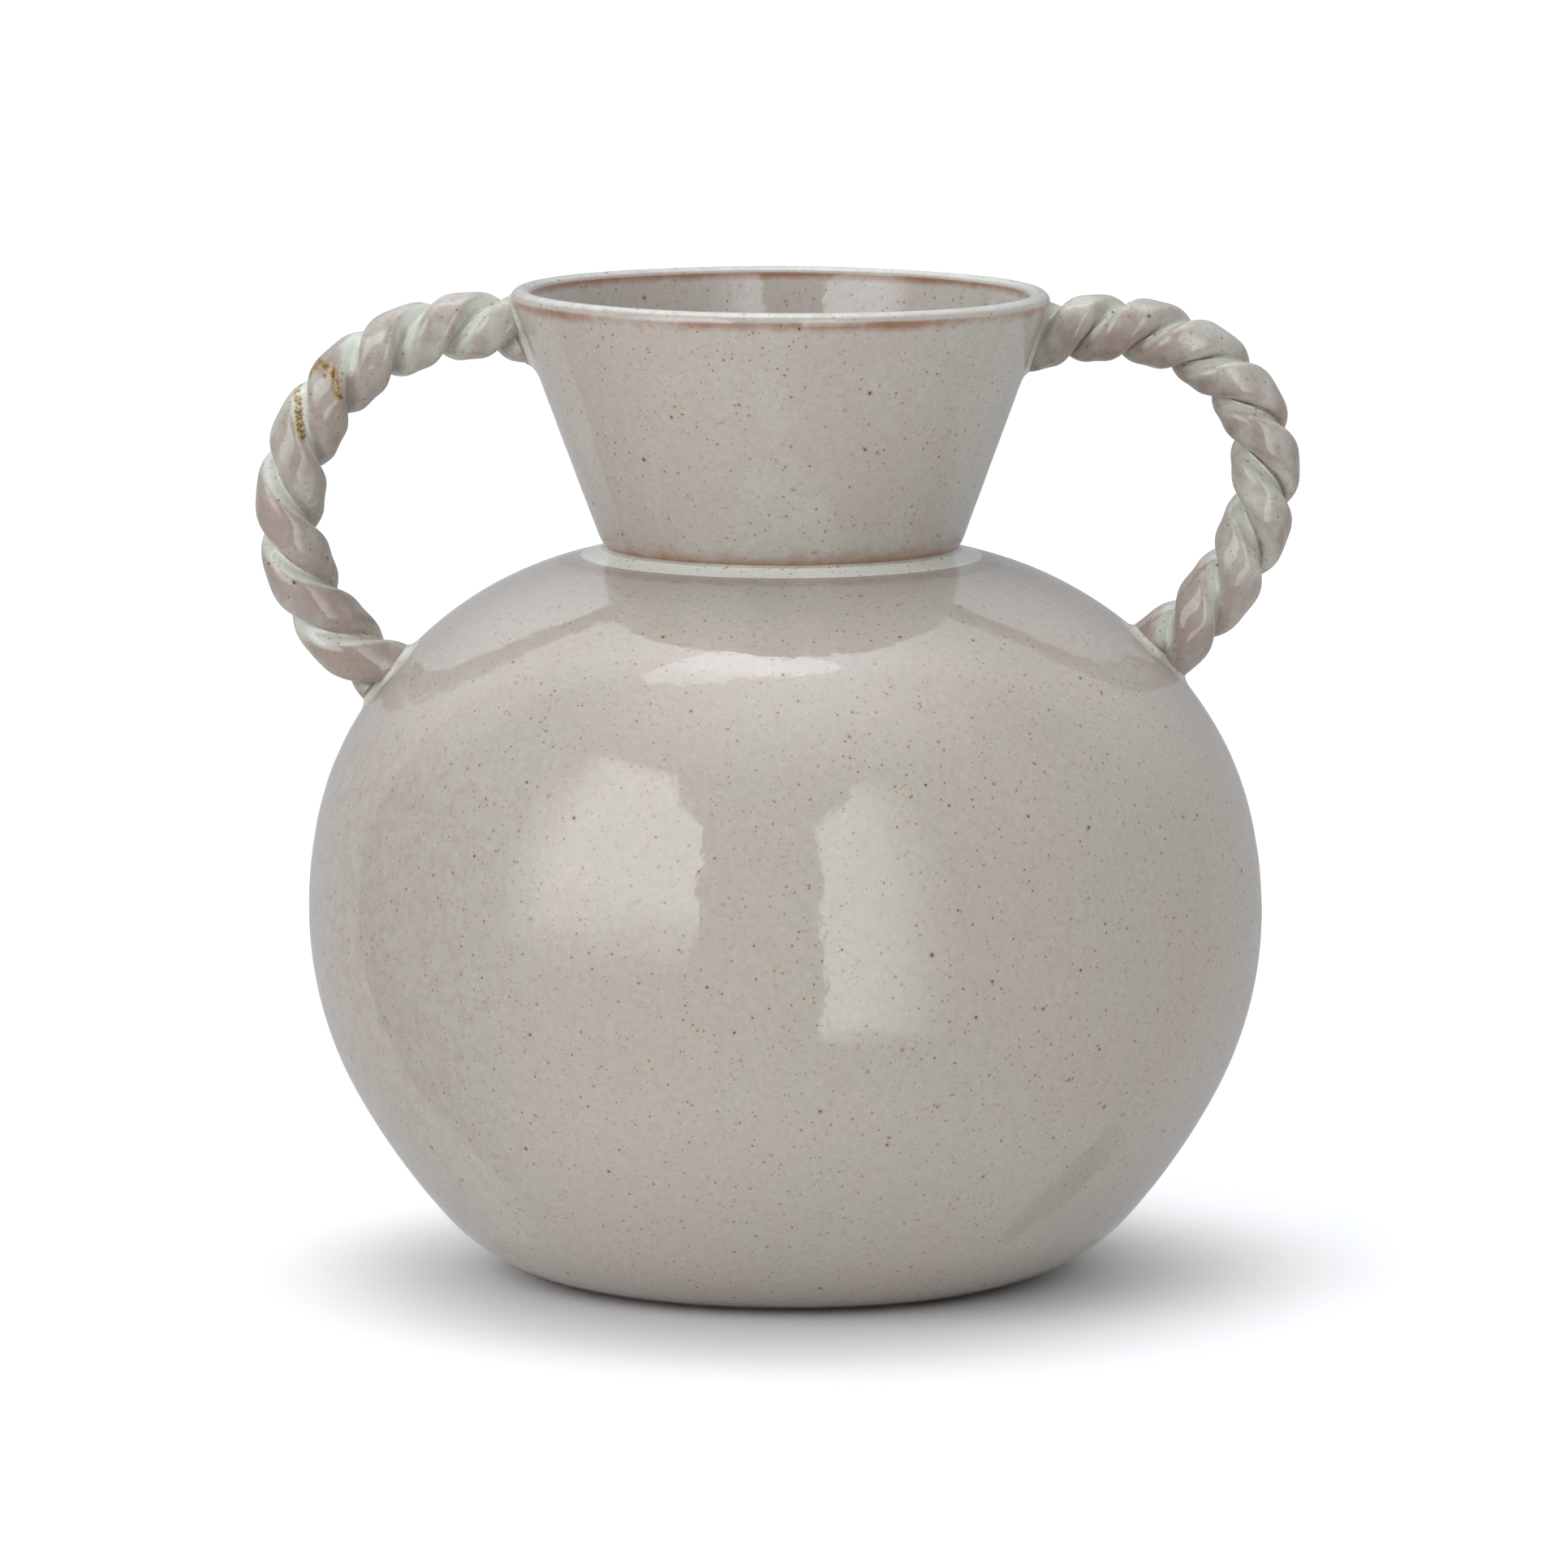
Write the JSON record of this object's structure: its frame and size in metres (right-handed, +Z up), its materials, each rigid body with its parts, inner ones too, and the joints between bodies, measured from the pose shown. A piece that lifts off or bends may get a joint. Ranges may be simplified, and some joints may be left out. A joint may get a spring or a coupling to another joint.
{
  "type": "vase",
  "caption": "Round-bellied stoneware vase with a flared neck, a round lip and a twisted rope handle on each side, in glossy speckled grey glaze.",
  "frame": {"origin": "centre of the foot, on the surface that the vase stands on", "axes": "+Z up, +X towards the right-hand handle, -Y towards the front"},
  "size_m": [0.2558, 0.235, 0.2431],
  "materials": {
    "body_glaze": "glossy warm grey reactive glaze with fine iron specks",
    "neck_glaze": "glossy warm grey glaze, pinker where it runs thin, with iron specks",
    "rope_glaze": "glossy glaze, brown on the crests and pale in the grooves",
    "pooled_glaze": "thick glossy glaze, pale greenish white",
    "bare_clay": "matt unglazed reddish brown stoneware"
  },
  "bodies": {
    "root": {"globe_body": "body_glaze", "foot_ring": "bare_clay", "flared_neck": "neck_glaze", "neck_seam": "pooled_glaze", "left_upper_pad": "pooled_glaze", "left_lower_pad": "pooled_glaze", "left_rope_roll_a": "rope_glaze", "left_rope_roll_b": "rope_glaze", "right_upper_pad": "pooled_glaze", "right_lower_pad": "pooled_glaze", "right_rope_roll_a": "rope_glaze", "right_rope_roll_b": "rope_glaze"}
  },
  "joints": []
}
